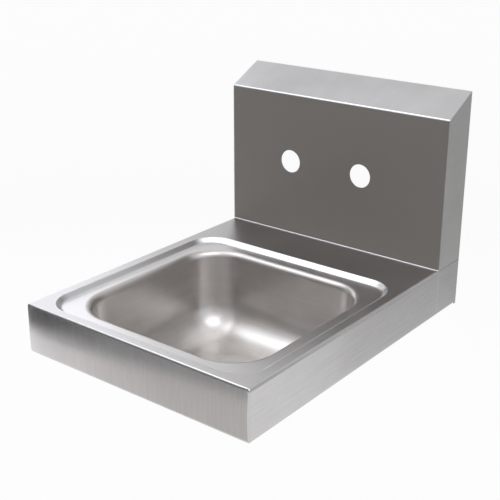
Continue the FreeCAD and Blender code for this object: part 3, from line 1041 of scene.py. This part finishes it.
# %% Turn the strainer's post and knob
def knob():
    low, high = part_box("strainer_post")
    shoulder_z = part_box("strainer_cup")[0].z + 0.0008
    radius, neck, knob_radius, tip = 0.003, 0.0042, 0.0075, 0.0002
    shank = ((tip, low.z), (radius - 0.0005, low.z), (radius, low.z + 0.0005),
             (radius, shoulder_z), (neck, shoulder_z))
    head = ((neck, 0.0075), (neck + 0.0003, 0.0066), (0.0063, 0.0050), (0.0071, 0.0044),
            (knob_radius, 0.0036), (knob_radius, 0.0024), (0.0071, 0.0013), (0.0062, 0.0005),
            (0.0048, 0.0001), (0.0030, 0), (tip, 0))
    rings = [turned_ring(r, z) for r, z in shank]
    rings += [turned_ring(r, high.z - down) for r, down in head]
    turned_piece("strainer_knob", rings, "strainer", ["strainer_post"],
                 drain_chrome)


knob()

# %% [markdown]
# ## Seals, washers and the strainer's cup
# These keep the solids of the measured model, because their shapes are already right. They
# only get their finish: dull rubber, pressed fibre, brass and satin steel.

# %% Give the small pieces their finish
def plain_finish(name, tint, roughness, speckle, scale):
    """A matt material with a fine speckle in its tone and relief."""
    material, tree = new_material(name)
    shader = tree.nodes["Principled BSDF"]
    shader.inputs["Roughness"].default_value = roughness
    places = add_node(tree, "TexCoord")
    grain = mapped_noise(places.outputs["Object"], [scale] * 3, 4.0)
    tinted(shader, tint, ranged(grain, 1 - speckle, 1 + speckle))
    link(bumped(grain, 0.00005, 0.4), shader, "Normal")
    return material


rubber = plain_finish("black_rubber", (0.035, 0.035, 0.036), 0.62, 0.25, 1200.0)
fibre = plain_finish("red_fibre", (0.36, 0.11, 0.06), 0.75, 0.3, 1600.0)
cup_steel = polished_metal("cup_steel", (0.62, 0.61, 0.60), 0.24, scale=700.0)
bracket_zinc = polished_metal("bracket_zinc", (0.52, 0.53, 0.55), 0.42, scale=300.0)
screw_zinc = polished_metal("screw_zinc", (0.60, 0.60, 0.61), 0.32, scale=900.0)
kept_solids = {
    "flange_seal": rubber, "body_gasket": rubber, "stopper_washer": rubber,
    "friction_washer": fibre, "post_nut": brass, "strainer_cup": cup_steel,
    "wall_bracket": bracket_zinc, "bracket_washers": screw_zinc, "bracket_screws": screw_zinc,
}
for node, finish in kept_solids.items():
    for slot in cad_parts[node].material_slots:
        slot.material = finish
print("solids kept", len(kept_solids))

# %% [markdown]
# ## The floor
# Polished metal shows the room more than itself, so the room is built with care. A white
# floor lies at the usual height below a hand basin. Paper alone would render grey, so it is
# partly lit, which keeps the shadow, and partly its own plain white.

# %% Lay the floor
floor_z = deck_z - 0.86
floor_reach = 9.0
plain_share = 0.92


def seen_plainly(tree):
    """1 where the camera sees a thing, alone or in metal or glass, and 0 for its light."""
    ray = add_node(tree, "LightPath")
    seen = ray.outputs["Is Camera Ray"]
    for name in ("Is Glossy Ray", "Is Transmission Ray"):
        seen = combined("MAXIMUM", seen, ray.outputs[name])
    return seen


def stage_mesh(name, points, faces, material):
    data = bpy.data.meshes.new(name)
    data.from_pydata([tuple(point) for point in points], [], faces)
    data.materials.append(material)
    thing = new_object(name, data)
    return thing


def floor_paper():
    material, tree = new_material("floor_paper")
    tree.nodes.clear()
    mix = add_node(tree, "MixShader")
    lit = add_node(tree, "BsdfDiffuse", {"Color": (0.9, 0.9, 0.9, 1)})
    plain = add_node(tree, "Emission")
    link(ranged(seen_plainly(tree), 0, plain_share, start=0, end=1), mix, "Fac")
    link(lit.outputs[0], mix, 1)
    link(plain.outputs[0], mix, 2)
    link(mix.outputs[0], add_node(tree, "OutputMaterial"), "Surface")
    return material


stage_mesh("floor", [(x * floor_reach, y * floor_reach, floor_z)
                     for x, y in ((-1, -1), (1, -1), (1, 1), (-1, 1))],
           [(0, 1, 2, 3)], floor_paper())
print("floor at", round(floor_z, 4))

# %% [markdown]
# ## The world
# The world is plain white where it is seen and a little dimmer where it only gives light,
# so the background stays white and the steel keeps its tones.

# %% Set the world
world_light = 0.75
world = bpy.data.worlds.new("studio")
bpy.context.scene.world = world
world.use_nodes = True
background = world.node_tree.nodes["Background"]
background.inputs["Color"].default_value = (1, 1, 1, 1)
seen = seen_plainly(world.node_tree)
link(ranged(seen, world_light, 1, start=0, end=1), background, "Strength")
world.cycles.sampling_method = "NONE"
print("light from the world", world_light)

# %% [markdown]
# ## A tent of light
# Photographers shoot steel inside a tent of white cloth, lit from above, so that every bend
# shows a soft step from bright to dark. Here the tent is a dome that glows by height: dim
# near the floor, and brightest overhead. The camera looks through it.

# %% Raise the tent
tent_radius = 3.0
tent_centre = Vector((0, -0.2, -0.15))
tent_tilt = 6
tent_columns, tent_rows = 48, 24
tent_foot, tent_top = -24, 89.9
tent_glow = ((-26, 0.50), (-6, 0.42), (15, 0.42), (30, 0.50), (38, 0.62), (44, 0.74), (55, 0.80),
             (90, 1.0))
brightest = max(strength for height, strength in tent_glow)


def towards(azimuth, elevation):
    """A direction: azimuth from the front towards the left, in degrees."""
    a, e = radians(azimuth), radians(elevation)
    return Vector((-sin(a) * cos(e), -cos(a) * cos(e), sin(e)))


def glowing(name, strength, colour=(1, 1, 1)):
    material, tree = new_material(name)
    tree.nodes.clear()
    glow = add_node(tree, "Emission", {"Strength": strength, "Color": (*colour, 1)})
    link(glow.outputs[0], add_node(tree, "OutputMaterial"), "Surface")
    material.cycles.emission_sampling = "NONE"
    return material, glow


def tent_cloth():
    """A glow that follows the height on the dome."""
    material, glow = glowing("tent_cloth", brightest)
    tree = material.node_tree
    split = add_node(tree, "SeparateXYZ")
    link(add_node(tree, "TexCoord").outputs["Object"], split, 0)
    ramp = add_node(tree, "ValToRGB")
    ramp.color_ramp.interpolation = "LINEAR"
    stops = ramp.color_ramp.elements
    while len(stops) < len(tent_glow):
        stops.new(0.5)
    for stop, (height, strength) in zip(stops, tent_glow):
        stop.position = (sin(radians(height)) + 1) / 2
        stop.color = (*[strength / brightest] * 3, 1)
    height = ranged(split.outputs["Z"], 0, 1, start=-tent_radius, end=tent_radius)
    link(height, ramp, "Fac")
    link(ramp.outputs["Color"], glow, "Color")
    return material


def hang(name, azimuths, elevations, distance, material):
    """A sheet over a range of directions that gives light but isn't seen and casts no shadow."""
    points = [towards(a, e) * distance for a in azimuths for e in elevations]
    rows = len(elevations)
    faces = [(i, i + rows, i + rows + 1, i + 1)
             for i in range(len(points) - rows) if (i + 1) % rows]
    thing = stage_mesh(name, points, faces, material)
    thing.location = tent_centre
    thing.visible_camera = False
    thing.visible_shadow = False
    return thing


dome = hang("light_tent", spread(0, 360, tent_columns), spread(tent_foot, tent_top, tent_rows),
            tent_radius, tent_cloth())
dome.rotation_euler.x = radians(tent_tilt)
print("tent faces", len(dome.data.polygons))

# %% [markdown]
# ## Cards in the tent
# Cards hung in the tent draw the larger lights and darks. Windows overhead brighten the
# deck, the step and the bowl. Black cards low at the front left put the shadow on the front
# apron, and white ones under them light its foot. The rest set the tone of the other sheets.

# %% Hang the cards
white, cool_white, warm_white = (1, 1, 1), (0.93, 0.955, 1.0), (1, 0.97, 0.94)
degrees_per_cell = 8
cards = (  # name, azimuths, elevations, distance, strength, colour
    ("overhead_window", 34, 97, 50, 67, 2.7, 2.8, cool_white),
    ("overhead_skylight", -26, 97, 67, 80, 2.7, 1.8, cool_white),
    ("overhead_right_window", -106, -26, 51, 80, 2.7, 2.9, cool_white),
    ("overhead_edge", 24, 97, 40, 50, 2.7, 1.35, cool_white),
    ("dark_card", 40, 46.8, -23.6, 4, 1.5, 0.03, white),
    ("dark_side_card", 46.8, 54, -20.8, 4, 1.5, 0.03, white),
    ("left_paper", 54, 80, -21, 4, 1.5, 0.75, white),
    ("white_card", 46.8, 80, -44, -21.5, 1.45, 1.22, white),
    ("paper_card", 4, 46.8, -44, -23.5, 1.3, 0.69, warm_white),
    ("grey_card", 16, 40, -23.5, -8, 1.6, 0.34, white),
    ("dark_strip", 8, 60, -8, 22, 1.65, 0.12, white),
    ("rear_card", -172, -138, -22, -4, 1.6, 0.47, white),
    ("rear_low_card", -172, -138, -31, -22, 1.6, 0.66, white),
    ("rear_right_cloth", -180, -132, 22, 50, 2.7, 0.42, white),
    ("left_window", 102, 130, 0, 38, 2.6, 1.95, cool_white),
    ("left_curtain", 130, 148, 10, 40, 2.6, 0.95, white),
    ("right_window", -55, -105, 12, 40, 2.6, 1.0, cool_white),
)

for name, first, last, low, high, distance, strength, colour in cards:
    azimuths = spread(first, last, max(4, round(abs(last - first) / degrees_per_cell)))
    hang(name, azimuths, (low, high), distance, glowing(name, strength, colour)[0])
print("cards", len(cards))

# %% [markdown]
# ## The camera
# The camera stands at the front right, a little above the deck, and looks down at the basin
# with a long lens, so the sides stay nearly parallel.

# %% Place the camera
camera_turn, camera_tilt = 38.20, 21.28
eye = bpy.data.cameras.new("eye")
eye.lens = 71.69
eye.sensor_width = 36.0
eye_holder = new_object("eye", eye)
eye_holder.location = (0.63879, -1.02260, 0.28221)
eye_holder.rotation_euler = (radians(90 - camera_tilt), 0.0, radians(camera_turn))
bpy.context.scene.camera = eye_holder
bpy.context.scene.view_settings.view_transform = "Standard"
print("camera to bowl", round((eye_holder.location - Vector((0, bowl_y, deck_z))).length, 3))
